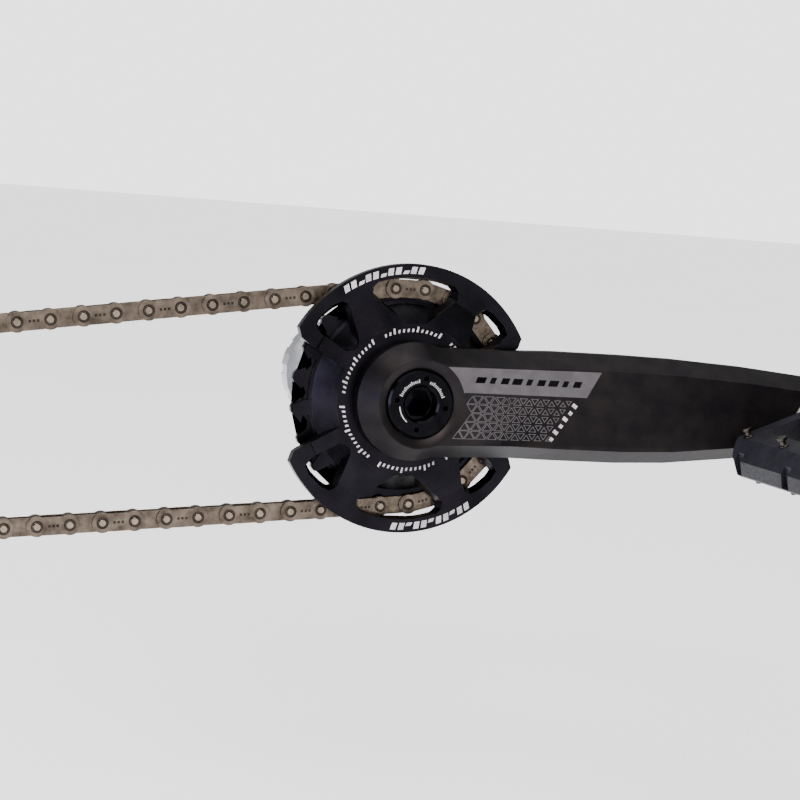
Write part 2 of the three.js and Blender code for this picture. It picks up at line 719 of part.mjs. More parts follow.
function pedalPlatform() {
  const outline = roundedRectangle(pedalHalfLength, pedalInboard, pedalOutboard, pedalCorner);
  const frontEnd = [
    [pedalHalfLength - pedalUndercut, -pedalHalfThickness],
    [pedalHalfLength - 0.2, -0.12 * pedalHalfThickness],
    [pedalHalfLength, 0.67 * pedalHalfThickness],
    [pedalHalfLength - pedalNoseBreak, pedalHalfThickness],
  ];
  const rearEnd = frontEnd.map(([x, height]) => [-x, -height]);
  const raked = new THREE.Shape([...frontEnd, ...rearEnd].map(([x, height]) => new THREE.Vector2(x, height)));
  const body = slab(outline, pedalHalfThickness).intersect(plate(raked, pedalInboard - 1, pedalOutboard + 1));
  const barrel = disc(pedalBarrelRadius, pedalInboard, pedalOutboard, 28);
  const cutsOut = [];
  const windowFrom = pedalBarrelRadius + 3;
  const windowTo = pedalHalfLength - railWidth;
  for (const end of [-1, 1]) {
    for (const half of [-1, 1]) {
      const near = pedalMiddle + half * 2.5;
      const far = pedalMiddle + half * ((pedalOutboard - pedalInboard) / 2 - sideRailWidth);
      const windowWidth = Math.abs(far - near);
      const opening = new THREE.BoxGeometry(windowTo - windowFrom, windowWidth, 4 * pedalHalfThickness);
      opening.translate(end * (windowFrom + windowTo) / 2, outboard((near + far) / 2), 0);
      cutsOut.push(toSolid(opening));
    }
  }
  const pinHoles = pinPlaces.map((place) => uprightPin(place, pedalPinRadius + runningGap,
    pedalHalfThickness - pedalPinDepth - runningGap, pedalHalfThickness + 1));
  const bore = disc(pedalBore, pedalInboard - 1, pedalOutboard + 1, 28);
  return body.add(barrel).subtract(joined([bore, ...cutsOut, ...pinHoles]));
}

addPart('pedal_platform', pedalPlatform(), finishes.nylon, pedal);

pinPlaces.forEach((place, index) => {
  const foot = pedalHalfThickness - pedalPinDepth;
  const pin = uprightPin(place, pedalPinRadius, foot, pedalHalfThickness + pedalPinHeight);
  const side = place.face > 0 ? 'top' : 'under';
  addPart(`pedal_pin_${side}_${index % 8 + 1}`, pin, finishes.steel, pedal);
});

export default crankset;
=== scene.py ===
"""Looks of the drive side of a bicycle crankset: chainring with guard, crank arm, chain and pedal."""

import json
import math

import bpy
from mathutils import Matrix, Vector


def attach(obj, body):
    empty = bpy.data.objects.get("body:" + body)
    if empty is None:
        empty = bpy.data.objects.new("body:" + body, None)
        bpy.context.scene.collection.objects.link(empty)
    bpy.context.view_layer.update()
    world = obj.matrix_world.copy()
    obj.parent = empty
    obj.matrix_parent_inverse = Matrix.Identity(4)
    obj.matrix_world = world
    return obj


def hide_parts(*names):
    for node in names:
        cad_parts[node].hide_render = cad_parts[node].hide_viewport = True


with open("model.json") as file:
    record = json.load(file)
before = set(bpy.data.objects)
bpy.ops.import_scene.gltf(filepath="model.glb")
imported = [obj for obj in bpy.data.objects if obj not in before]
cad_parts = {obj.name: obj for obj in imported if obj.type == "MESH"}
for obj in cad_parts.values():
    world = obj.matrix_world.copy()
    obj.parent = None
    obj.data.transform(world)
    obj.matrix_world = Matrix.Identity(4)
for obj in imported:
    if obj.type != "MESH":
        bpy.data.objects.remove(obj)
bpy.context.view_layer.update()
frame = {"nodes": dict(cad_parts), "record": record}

MM = 0.001
CHAIN_LINE = 52 * MM               # plane of the teeth, from the middle of the frame

# Chain and teeth
PITCH = 12.7 * MM
TEETH = 22
PITCH_RADIUS = PITCH / (2 * math.sin(math.pi / TEETH))
UPPER_TANGENT = 90 + 180 / TEETH   # degrees, where the upper run leaves the ring
LOWER_TANGENT = -90 + 4.49
RUN_PITCHES = 15
PLATE_RADIUS = 4.1 * MM
PLATE_WAIST = 3.6 * MM
INNER_PLATES = (1.25 * MM, 2.02 * MM)
OUTER_PLATES = (2.1 * MM, 2.85 * MM)

# Faces that carry marks, counted outboard from the plane of the teeth
RIM_FACE = 9.5 * MM
HUB_FACE = 12 * MM
EXTRACTOR_FACE = 26 * MM
RIM_MARK_RADIUS = 50.8             # millimetres, foot of the blocks on the rim
HUB_MARK_RADIUS = 27.6
TICK_RADIUS = 8.7

# Crank arm
ARM_LENGTH = 175 * MM
ARM_EDGE = 0.9 * MM
LATTICE_WIDTH = 4.9                # millimetres, a triangle's base
LATTICE_ROW = 3.56                 # and its height
LATTICE_TOP = 4.5
LATTICE_ROWS = 5

# Pedal, in its own level frame
PEDAL_TILT = math.radians(22)
PEDAL_HALF_THICK = 8.2 * MM
PEDAL_HALF_LENGTH = 45 * MM
PEDAL_INBOARD = 38.3 * MM
PEDAL_OUTBOARD = 131.7 * MM
PIN_ROW = 36 * MM                  # from the axle to each row of pins
PIN_SPREAD = 83.4 * MM             # between the outer pins of a row
PIN_RADIUS = 2 * MM
PIN_DEPTH = 5 * MM                 # how far a pin stands in the platform
PIN_HEIGHT = 4 * MM                # and how far out of it
GROOVE_PLACES = (45, 82, 119)      # millimetres outboard
GROOVE_SIZE = (5 * MM, 4.6 * MM, 12 * MM)
GROOVE_LEAN = math.radians(16)

# Camera
CAMERA_SPOT = (-0.2657, -0.7890, 0.0800)
CAMERA_AIM = (0.3375, 0.9356, -0.1034)
CAMERA_LENS = 86.56
CAMERA_ROLL = math.radians(4.488)

MARK = 0.08 * MM                   # how far an etched mark stands off its surface


# ---------- materials ----------

def linear(code):
    """An sRGB hex colour as the linear colour that the shaders use."""
    channels = [int(code[i:i + 2], 16) / 255 for i in (1, 3, 5)]
    return [c / 12.92 if c <= 0.04045 else ((c + 0.055) / 1.055) ** 2.4 for c in channels] + [1.0]


def add_node(tree, kind, settings=None, links=None):
    """Adds one node, sets its properties and sockets, and wires what feeds it."""
    node = tree.nodes.new(kind)
    for key, value in (settings or {}).items():
        if isinstance(key, str) and hasattr(node, key):
            setattr(node, key, value)
        else:
            node.inputs[key].default_value = value
    for key, source in (links or {}).items():
        tree.links.new(source, node.inputs[key])
    return node


def start_finish(name, colour, metallic, roughness):
    """A new material with its shader's plain values set. Returns it, its tree, shader and Object position."""
    material = bpy.data.materials.new(name)
    material.use_nodes = True
    tree = material.node_tree
    shader = tree.nodes["Principled BSDF"]
    shader.inputs["Base Color"].default_value = linear(colour)
    shader.inputs["Metallic"].default_value = metallic
    shader.inputs["Roughness"].default_value = roughness
    place = add_node(tree, "ShaderNodeTexCoord").outputs["Object"]
    return material, tree, shader, place


def grain(tree, shader, place, size, roughness, height, detail=3.0):
    """Grain of this size in metres: roughness wanders between two values, and the surface rises."""
    noise = add_node(tree, "ShaderNodeTexNoise", {"Scale": 1 / size, "Detail": detail}, {"Vector": place})
    spread = add_node(tree, "ShaderNodeMapRange",
                      {"From Min": 0.3, "From Max": 0.7, "To Min": roughness[0], "To Max": roughness[1]},
                      {"Value": noise.outputs["Fac"]})
    tree.links.new(spread.outputs["Result"], shader.inputs["Roughness"])
    bump = add_node(tree, "ShaderNodeBump", {"Strength": 1.0, "Distance": height},
                    {"Height": noise.outputs["Fac"]})
    tree.links.new(bump.outputs["Normal"], shader.inputs["Normal"])
    return bump


def blotches(tree, shader, place, size, first, second, low=0.35, high=0.65):
    """Base colour that drifts between two colours over this size in metres."""
    noise = add_node(tree, "ShaderNodeTexNoise", {"Scale": 1 / size, "Detail": 4.0}, {"Vector": place})
    share = add_node(tree, "ShaderNodeMapRange", {"From Min": low, "From Max": high},
                     {"Value": noise.outputs["Fac"]})
    mixed = add_node(tree, "ShaderNodeMix", {"data_type": "RGBA", 6: linear(first), 7: linear(second)},
                     {0: share.outputs["Result"]})
    tree.links.new(mixed.outputs[2], shader.inputs["Base Color"])
    return mixed


def turned_rings(tree, shader, place, bump, spacing, height):
    """Tool marks in circles round the spindle, this far apart, laid over an earlier bump."""
    flat = add_node(tree, "ShaderNodeVectorMath", {"operation": "MULTIPLY", 1: (1, 0, 1)}, {0: place})
    radius = add_node(tree, "ShaderNodeVectorMath", {"operation": "LENGTH"}, {0: flat.outputs["Vector"]})
    rings = add_node(tree, "ShaderNodeTexNoise",
                     {"noise_dimensions": "1D", "Scale": 1 / spacing, "Detail": 1.0},
                     {"W": radius.outputs["Value"]})
    marks = add_node(tree, "ShaderNodeBump", {"Strength": 1.0, "Distance": height},
                     {"Height": rings.outputs["Fac"], "Normal": bump.outputs["Normal"]})
    tree.links.new(marks.outputs["Normal"], shader.inputs["Normal"])


def anodised_guard():
    # Black anodised aluminium, milled: dark with a violet cast, and fine circular tool marks.
    material, tree, shader, place = start_finish("anodised_aluminium_milled", "#17161a", 1.0, 0.3)
    blotches(tree, shader, place, 14 * MM, "#151417", "#1e1c21")
    bump = grain(tree, shader, place, 0.7 * MM, (0.26, 0.4), 0.006 * MM)
    turned_rings(tree, shader, place, bump, 0.45 * MM, 0.012 * MM)
    return material


def edge_highlight_finish():
    # Edge of the anodising where a corner was broken: a lighter colour, a painted highlight along the edge.
    material, tree, shader, place = start_finish("anodised_edge_painted_highlight", "#3c3b41", 1.0, 0.35)
    blotches(tree, shader, place, 5 * MM, "#1a191d", "#4b484e", 0.42, 0.62)
    grain(tree, shader, place, 0.8 * MM, (0.28, 0.5), 0.004 * MM)
    return material


def blasted_arm():
    # Black anodised aluminium, bead blasted: an even fine sparkle, coarser along the arm than at the boss.
    material, tree, shader, place = start_finish("anodised_aluminium_blasted", "#242224", 1.0, 0.5)
    blotches(tree, shader, place, 9 * MM, "#201e20", "#292626")
    beads = add_node(tree, "ShaderNodeTexNoise", {"Scale": 1 / (0.55 * MM), "Detail": 4.0}, {"Vector": place})
    along = add_node(tree, "ShaderNodeSeparateXYZ", {}, {0: place})
    coarse = add_node(tree, "ShaderNodeMapRange",
                      {"From Min": 40 * MM, "From Max": 62 * MM, "To Min": 0.05, "To Max": 1.0},
                      {"Value": along.outputs["X"]})
    spread = add_node(tree, "ShaderNodeMapRange", {"To Min": 0.36, "To Max": 0.5},
                      {"Value": coarse.outputs["Result"]})
    tree.links.new(spread.outputs["Result"], shader.inputs["Roughness"])
    height = add_node(tree, "ShaderNodeMath", {"operation": "MULTIPLY"},
                      {0: beads.outputs["Fac"], 1: coarse.outputs["Result"]})
    bump = add_node(tree, "ShaderNodeBump", {"Strength": 1.0, "Distance": 0.09 * MM},
                    {"Height": height.outputs[0]})
    tree.links.new(bump.outputs["Normal"], shader.inputs["Normal"])
    return material


def plain_metal(name, colour, roughness, size, height, metallic=1.0, second=None):
    # Turned or rolled metal with a slight drift in colour and polish.
    material, tree, shader, place = start_finish(name, colour, metallic, roughness[0])
    blotches(tree, shader, place, 6 * MM, colour, second or colour)
    grain(tree, shader, place, size, roughness, height)
    return material


def chain_plating():
    # Nickel plated steel, used: warm brown grey, with darker oil and grit in patches.
    material, tree, shader, place = start_finish("nickel_plated_steel_oiled", "#7d6d5e", 1.0, 0.35)
    blotches(tree, shader, place, 4.5 * MM, "#463e36", "#75695d", 0.3, 0.7)
    grain(tree, shader, place, 1.1 * MM, (0.24, 0.55), 0.02 * MM, 5.0)
    return material


def moulded_nylon():
    # Black glass filled nylon, moulded: matt, faintly blue, with a fine pebbled skin.
    material, tree, shader, place = start_finish("nylon_moulded_black", "#121217", 0.0, 0.55)
    shader.inputs["Specular IOR Level"].default_value = 0.3
    blotches(tree, shader, place, 7 * MM, "#0f0f13", "#18181e")
    grain(tree, shader, place, 0.8 * MM, (0.42, 0.66), 0.05 * MM)
    return material


guard_black = anodised_guard()
painted_highlight_edge = edge_highlight_finish()
arm_black = blasted_arm()
chain_nickel = chain_plating()
pedal_nylon = moulded_nylon()
gloss_black = plain_metal("anodised_aluminium_polished", "#0d0d0f", (0.1, 0.2),
                          1.2 * MM, 0.002 * MM, 1.0, "#131316")
# Dark steel for the rollers, the pin seats and the stamped grooves: on the seats and in the grooves the dark
# colour is painted shade.
painted_shade_steel = plain_metal("steel_dark_painted_shade", "#3b342e", (0.3, 0.5), 0.9 * MM, 0.004 * MM, 1.0, "#2a2622")
pin_nickel = plain_metal("nickel_plated_pin", "#8f8272", (0.18, 0.32), 0.6 * MM, 0.004 * MM, 1.0, "#6f6457")
traction_steel = plain_metal("steel_blackened_worn", "#4d4843", (0.18, 0.34),
                             0.7 * MM, 0.004 * MM, 1.0, "#3a3632")
clear_anodised = plain_metal("anodised_aluminium_clear", "#cfd0d2", (0.3, 0.42),
                             0.8 * MM, 0.004 * MM, 1.0, "#c2c4c7")
bright_steel = plain_metal("steel_zinc_plated", "#a5a4a3", (0.2, 0.36), 0.9 * MM, 0.004 * MM, 1.0, "#bdbbb8")
bronze = plain_metal("bronze_sintered", "#a3804c", (0.3, 0.45), 0.5 * MM, 0.01 * MM, 1.0, "#8a6b3e")
rubber = plain_metal("rubber_moulded", "#17171a", (0.6, 0.8), 0.5 * MM, 0.02 * MM, 0.0, "#1f1f22")
etched_white = plain_metal("laser_etched_white", "#c9c4c4", (0.6, 0.8), 0.5 * MM, 0.004 * MM, 0.0, "#a9a4a6")
etched_grey = plain_metal("laser_etched_grey", "#535052", (0.5, 0.62), 0.7 * MM, 0.006 * MM, 0.35, "#474446")


# ---------- shaping ----------

def deselect():
    bpy.ops.object.select_all(action="DESELECT")


def choose(piece):
    deselect()
    piece.select_set(True)
    bpy.context.view_layer.objects.active = piece


def settle(piece):
    """Puts the piece's place and turn into its mesh, so that its object sits at the origin."""
    choose(piece)
    bpy.ops.object.transform_apply(location=True, rotation=True, scale=True)


def apply_modifiers(piece):
    choose(piece)
    for name in [modifier.name for modifier in piece.modifiers]:
        bpy.ops.object.modifier_apply(modifier=name)


def ease_edges(piece, width, angle=30, segments=2, edge_slot=-1):
    """Breaks every edge sharper than this angle, and keeps the flats beside it flat."""
    choose(piece)
    bpy.ops.object.shade_smooth_by_angle(angle=math.radians(angle))
    bevel = piece.modifiers.new("broken_edges", "BEVEL")
    bevel.width = width
    bevel.segments = segments
    bevel.limit_method = "ANGLE"
    bevel.angle_limit = math.radians(angle)
    bevel.material = edge_slot
    bevel.harden_normals = True
    apply_modifiers(piece)


def joined(pieces, name):
    """One piece from several."""
    deselect()
    for piece in pieces:
        piece.select_set(True)
    bpy.context.view_layer.objects.active = pieces[0]
    if len(pieces) > 1:
        bpy.ops.object.join()
    pieces[0].name = name
    pieces[0].data.name = name
    return pieces[0]


def finished(piece, name, body, material, replaced=()):
    """Names a piece, gives it its finish if it has none yet, and hangs it on its body."""
    piece.name = name
    piece.data.name = name
    if not piece.data.materials:
        piece.data.materials.append(material)
    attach(piece, body)
    if replaced:
        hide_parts(*replaced)
    return piece


def solid_copy(node):
    """A welded copy of a CAD node, with its flat areas made whole again."""
    source = frame["nodes"][node]
    piece = bpy.data.objects.new(node + "_copy", source.data.copy())
    bpy.context.scene.collection.objects.link(piece)
    piece.data.materials.clear()
    choose(piece)
    bpy.ops.mesh.customdata_custom_splitnormals_clear()
    bpy.ops.object.mode_set(mode="EDIT")
    bpy.ops.mesh.select_all(action="SELECT")
    bpy.ops.mesh.remove_doubles(threshold=0.002 * MM)
    bpy.ops.mesh.dissolve_limited(angle_limit=math.radians(0.4))
    bpy.ops.object.mode_set(mode="OBJECT")
    return piece


def outline_plate(points, front, back):
    """Walks one vertex round an outline in X and Z, fills it, and draws it from front to back along Y."""
    deselect()
    bpy.ops.mesh.primitive_plane_add(size=0.1 * MM, location=(points[0][0], front, points[0][1]))
    piece = bpy.context.active_object
    bpy.ops.object.mode_set(mode="EDIT")
    bpy.ops.mesh.select_all(action="SELECT")
    bpy.ops.mesh.merge(type="CENTER")
    for (x, z), (next_x, next_z) in zip(points, points[1:]):
        bpy.ops.mesh.extrude_region_move(TRANSFORM_OT_translate={"value": (next_x - x, 0, next_z - z)})
    bpy.ops.object.mode_set(mode="OBJECT")
    for vertex in piece.data.vertices:
        vertex.select = vertex.index in (0, len(points) - 1)
    bpy.ops.object.mode_set(mode="EDIT")
    bpy.ops.mesh.edge_face_add()
    bpy.ops.mesh.select_all(action="SELECT")
    bpy.ops.mesh.edge_face_add()
    bpy.ops.mesh.extrude_region_move(TRANSFORM_OT_translate={"value": (0, back - front, 0)})
    bpy.ops.mesh.select_all(action="SELECT")
    bpy.ops.mesh.normals_make_consistent(inside=False)
    bpy.ops.object.mode_set(mode="OBJECT")
    settle(piece)
    return piece


def spindle_disc(radius, front, back, sides=32):
    """A disc about a line along Y through the origin."""
    deselect()
    bpy.ops.mesh.primitive_cylinder_add(vertices=sides, radius=radius, depth=abs(back - front),
                                        location=(0, (front + back) / 2, 0), rotation=(math.pi / 2, 0, 0))
    piece = bpy.context.active_object
    settle(piece)
    return piece


def pull_face(piece, along, inset, depth):
    """Insets the faces that look this way, and moves them along it."""
    choose(piece)
    for polygon in piece.data.polygons:
        polygon.select = polygon.normal.dot(Vector(along)) > 0.99
    bpy.ops.object.mode_set(mode="EDIT")
    bpy.ops.mesh.select_mode(type="FACE")
    bpy.ops.mesh.inset(thickness=inset, depth=0)
    bpy.ops.mesh.extrude_region_move(TRANSFORM_OT_translate={"value": tuple(Vector(along) * depth)})
    bpy.ops.mesh.select_mode(type="VERT")
    bpy.ops.object.mode_set(mode="OBJECT")


def copy_at(piece, matrix):
    """A copy with its own mesh, moved by a matrix."""
    twin = bpy.data.objects.new(piece.name + "_copy", piece.data.copy())
    twin.data.transform(matrix)
    bpy.context.scene.collection.objects.link(twin)
    return twin


def turn(degrees):
    """Turns about the spindle's axis, from +X towards +Z."""
    return Matrix.Rotation(-math.radians(degrees), 4, "Y")


def polar(radius, degrees):
    return Vector((radius * math.cos(math.radians(degrees)), 0, radius * math.sin(math.radians(degrees))))


def cut(piece, tools):
    """Cuts the tools out of the piece, and removes them."""
    tool = joined(tools, "cutting_tool")
    boolean = piece.modifiers.new("cut", "BOOLEAN")
    boolean.operation = "DIFFERENCE"
    boolean.solver = "EXACT"
    boolean.object = tool
    apply_modifiers(piece)
    bpy.data.objects.remove(tool)


# ---------- chain ----------

def chain_pin(index):
    """Centre of a pin. 0 is where the upper run meets the ring, and the count rises over its front."""
    wrap = math.radians(UPPER_TANGENT - LOWER_TANGENT) * PITCH_RADIUS
    if index <= 0:
        return polar(PITCH_RADIUS, UPPER_TANGENT) - polar(index * PITCH, UPPER_TANGENT + 90)
    angle = UPPER_TANGENT - index * 360 / TEETH
    if angle >= LOWER_TANGENT:
        return polar(PITCH_RADIUS, angle)
    return polar(PITCH_RADIUS, LOWER_TANGENT) + polar(index * PITCH - wrap, LOWER_TANGENT - 90)


def link_plate(sides):
    """One link plate from pin to pin along X: round ends and a waist."""
    points = [(PLATE_RADIUS * math.cos(a), PLATE_RADIUS * math.sin(a))
              for a in [math.radians(d) for d in range(60, 301, 20)]]
    far = [(PITCH - x, -z) for x, z in points]
    waist = [(PITCH / 2 + share * MM, -PLATE_WAIST) for share in (-1.6, 0, 1.6)]
    outline = points + waist + far + [(PITCH - x, -z) for x, z in waist]
    plate = outline_plate(outline, -sides[1], -sides[0])
    ease_edges(plate, 0.14 * MM, 40, 2)
    return plate


def link_matrix(index):
    start, end = chain_pin(index), chain_pin(index + 1)
    angle = math.degrees(math.atan2(end.z - start.z, end.x - start.x))
    return Matrix.Translation(start + Vector((0, -CHAIN_LINE, 0))) @ turn(angle)


def build_chain():
    wrap = math.radians(UPPER_TANGENT - LOWER_TANGENT) * PITCH_RADIUS
    last = round(wrap / PITCH) + RUN_PITCHES
    inner, outer = link_plate(INNER_PLATES), link_plate(OUTER_PLATES)
    roller = spindle_disc(3.85 * MM, -1.15 * MM, 1.15 * MM, 20)
    ease_edges(roller, 0.3 * MM)
    # A riveted pin: a low head on each side with a dished middle, in a stepped seat.
    pin = spindle_disc(1.75 * MM, -3.02 * MM, 3.02 * MM, 18)
    pull_face(pin, (0, -1, 0), 0.45 * MM, -0.25 * MM)
    pull_face(pin, (0, 1, 0), 0.45 * MM, -0.25 * MM)
    ease_edges(pin, 0.1 * MM)
    # The seat is dark steel: the dark ring round each pin head is painted shade of its recess.
    seat = spindle_disc(2.5 * MM, -2.9 * MM, 2.9 * MM, 20)
    ease_edges(seat, 0.12 * MM)
    # Three short grooves pressed into the outer plates stand for the maker's stamping, drawn as thin dark
    # bars: painted shade in the grooves.
    stamp_outline = [(5, -0.5), (7.8, -0.5), (7.8, 0.5), (5, 0.5)]
    stamp = outline_plate([(x * MM, z * MM) for x, z in stamp_outline], -2.88 * MM, -2.8 * MM)
    pieces = {"inner": [], "outer": [], "rollers": [], "pins": [], "seats": [], "stamps": []}
    mirror = Matrix.Translation((PITCH, 0, 0)) @ Matrix.Rotation(math.pi, 4, "Z")
    for index in range(-RUN_PITCHES, last + 1):
        place = Matrix.Translation(chain_pin(index) + Vector((0, -CHAIN_LINE, 0)))
        pieces["rollers"].append(copy_at(roller, place))
        pieces["pins"].append(copy_at(pin, place))
        pieces["seats"].append(copy_at(seat, place))
        if index == last:
            continue
        kind, plate = ("outer", outer) if index % 2 == 0 else ("inner", inner)
        matrix = link_matrix(index)
        pieces[kind] += [copy_at(plate, matrix), copy_at(plate, matrix @ mirror)]
        if kind == "outer":
            for step in (-1.6, 0, 1.6):
                thin = Matrix.Diagonal((0.35, 1, 1, 1))
                offset = Matrix.Translation(((6.35 * 0.65 + step) * MM, 0, 0))
                pieces["stamps"].append(copy_at(stamp, matrix @ offset @ thin))
    for model in (inner, outer, roller, pin, seat, stamp):
        bpy.data.objects.remove(model)
    nodes = ("chain_wrap_outboard", "chain_wrap_inboard", "chain_upper_run", "chain_lower_run")
    finished(joined(pieces["outer"], "outer"), "chain_outer_plates", "frame_side",
             chain_nickel, nodes)
    finished(joined(pieces["inner"], "inner"), "chain_inner_plates", "frame_side",
             chain_nickel)
    finished(joined(pieces["rollers"], "r"), "chain_rollers", "frame_side", painted_shade_steel)
    finished(joined(pieces["pins"], "p"), "chain_pins", "frame_side", pin_nickel)
    finished(joined(pieces["seats"], "s"), "chain_pin_seats", "frame_side", painted_shade_steel)
    finished(joined(pieces["stamps"], "m"), "chain_plate_grooves", "frame_side", painted_shade_steel)


# ---------- etched marks ----------

def etched_bar(width, height, lean):
    """A flat mark standing on the origin, leaning along X as it rises."""
    points = [(-width / 2, 0), (width / 2, 0), (width / 2 + lean, height), (lean - width / 2, height)]
    return outline_plate(points, -MARK, 0)


def marks_on_ring(spans, outboard, name):
    """Bars pointing away from the spindle at these (degrees, radius, height, width, lean)."""
    pieces = []
    for degrees, radius, height, width, lean in spans:
        bar = etched_bar(width * MM, height * MM, lean * MM)
        place = Matrix.Translation(Vector((0, -CHAIN_LINE - outboard, 0))) @ turn(degrees - 90)
        bar.data.transform(place @ Matrix.Translation((0, 0, radius * MM)))
        pieces.append(bar)
    return joined(pieces, name)


# ---------- chainring and guard ----------

def build_guard():
    guard = solid_copy("chainring_guard")
    guard.data.materials.append(guard_black)
    guard.data.materials.append(painted_highlight_edge)
    # The bevels take the second slot, the lighter edge colour: a painted highlight on every broken edge.
    ease_edges(guard, 0.28 * MM, 25, 2, 1)
    finished(guard, "chainring_with_guard", "crank", guard_black, ("chainring_guard",))
    # Plain slanted blocks stand where the rim is printed, and short ticks where the hub ring is.
    rim = []
    for turned_over in (0, 180):
        for step in range(11):
            height = (2.8, 2.8, 1.3)[step % 3]
            rim.append((turned_over + 124.5 - 3.6 * step, RIM_MARK_RADIUS, height, 2.3, 0.8))
    marks = marks_on_ring(rim, RIM_FACE, "rim_blocks")
    finished(marks, "guard_rim_marks", "crank", etched_white)
    hub = []
    for step in range(90):
        if step % 15 in (0, 1):
            continue
        height = 2.2 if step % 5 == 2 else 1.3
        hub.append((4 * step, HUB_MARK_RADIUS, height, 0.8, 0.3))
    marks = marks_on_ring(hub, HUB_FACE, "hub_ticks")
    finished(marks, "guard_hub_marks", "crank", etched_white)


# ---------- crank arm ----------

def lay_on(piece, ground):
    """Moves a flat piece, drawn at y = 0, on to the outboard side of another piece, point by point."""
    for vertex in piece.data.vertices:
        hit, spot, _, _ = ground.ray_cast((vertex.co.x, -0.3, vertex.co.z), (0, 1, 0))
        vertex.co.y += spot.y if hit else 0


def bisect_evenly(piece, step, axis):
    """Cuts a flat piece across into strips, so that it can follow a bent surface."""
    normal = Vector((1, 0, 0)) if axis == 0 else Vector((0, 0, 1))
    places = [vertex.co[axis] for vertex in piece.data.vertices]
    cuts = int((max(places) - min(places)) / step)
    choose(piece)
    bpy.ops.object.mode_set(mode="EDIT")
    for index in range(1, cuts + 1):
        bpy.ops.mesh.select_all(action="SELECT")
        bpy.ops.mesh.bisect(plane_co=normal * (min(places) + index * step), plane_no=normal)
    bpy.ops.object.mode_set(mode="OBJECT")


def triangle_ring(side, line, points_up):
    """A triangle's outline of this line width, drawn as a flat frame."""
    deselect()
    bpy.ops.mesh.primitive_circle_add(vertices=3, radius=side / math.sqrt(3), fill_type="NGON",
                                      rotation=(math.pi / 2, 0, 0))
    piece = bpy.context.active_object
    settle(piece)
    bpy.ops.object.mode_set(mode="EDIT")
    bpy.ops.mesh.select_all(action="SELECT")
    bpy.ops.mesh.inset(thickness=line, depth=0)
    bpy.ops.mesh.delete(type="FACE")
    bpy.ops.mesh.select_all(action="SELECT")
    bpy.ops.mesh.extrude_region_move(TRANSFORM_OT_translate={"value": (0, -MARK, 0)})
    bpy.ops.mesh.select_all(action="SELECT")
    bpy.ops.mesh.normals_make_consistent(inside=False)
    bpy.ops.object.mode_set(mode="OBJECT")
    highest = max(vertex.co.z for vertex in piece.data.vertices)
    lowest = min(vertex.co.z for vertex in piece.data.vertices)
    if (highest > -lowest) != points_up:
        piece.data.transform(Matrix.Rotation(math.pi, 4, "Y"))
    return piece


def build_arm():
    arm = solid_copy("drive_crank_arm")
    arm.data.materials.append(arm_black)
    ease_edges(arm, ARM_EDGE, 28, 3)
    finished(arm, "crank_arm_blasted", "crank", arm_black, ("drive_crank_arm",))
    # A grey panel along the top of the face, cut to the recess at its inner end.
    recess = [polar(18.4 * MM, degrees) for degrees in range(57, 14, -6)]
    panel_outline = [(point.x, point.z) for point in recess]
    panel_outline += [(17.7 * MM, 5.4 * MM), (70.7 * MM, 5.6 * MM), (76.3 * MM, 16.3 * MM)]
    panel = outline_plate(panel_outline[::-1], -MARK, 0)
    bisect_evenly(panel, 1.5 * MM, 0)
    bisect_evenly(panel, 1.5 * MM, 2)
    lay_on(panel, arm)
    finished(panel, "arm_panel", "crank", etched_grey)
    # Triangles that are large and touching by the boss, and shrink to the right.
    width, row = LATTICE_WIDTH, LATTICE_ROW
    triangles = []
    for level in range(LATTICE_ROWS):
        middle = LATTICE_TOP - row * (level + 0.5)
        right_end = 63.8 - 0.55 * row * level
        for step in range(26):
            x = 6.6 + step * width / 2
            if x > right_end or math.hypot(x, middle) < 19.6:
                continue
            # The line pattern thins out to the right: each triangle keeps its cell and shrinks in it.
            size = 1.0 - 0.45 * max(0.0, (x - 14) / 50)
            up = (step + level) % 2 == 0
            piece = triangle_ring(row / math.cos(math.radians(30)) * size * MM, 0.24 * MM, up)
            stretch = width * math.cos(math.radians(30)) / row
            shift = (-row if up else row) / 6
            piece.data.transform(Matrix.Translation((x * MM, 0, (middle + shift) * MM))
                                 @ Matrix.Diagonal((stretch, 1, 1, 1)))
            triangles.append(piece)
    lattice = joined(triangles, "arm_triangles")
    lay_on(lattice, arm)
    finished(lattice, "arm_triangle_pattern", "crank", etched_grey)
    # A slanted row of dashes past the triangles, and slots across the panel.
    dashes = []
    for step in range(6):
        dash = etched_bar(1.5 * MM, (1.5, 2.2)[step % 2] * MM, 0)
        spot = Vector((57.3 + 1.85 * step, 0, -12.4 + 2.75 * step)) * MM
        dash.data.transform(Matrix.Translation(spot) @ turn(56))
        dashes.append(dash)
    row_of_dashes = joined(dashes, "dashes")
    lay_on(row_of_dashes, arm)
    finished(row_of_dashes, "arm_dashes", "crank", etched_white)
    slots = []
    for step in range(9):
        slot = etched_bar((4.0, 2.2, 3.2)[step % 3] * MM, 2.4 * MM, 0.9 * MM)
        slot.data.transform(Matrix.Translation(((24 + 5.2 * step) * MM, -MARK, 9.6 * MM)))
        slots.append(slot)
    panel_slots = joined(slots, "slots")
    lay_on(panel_slots, arm)
    finished(panel_slots, "arm_panel_blocks", "crank", gloss_black)


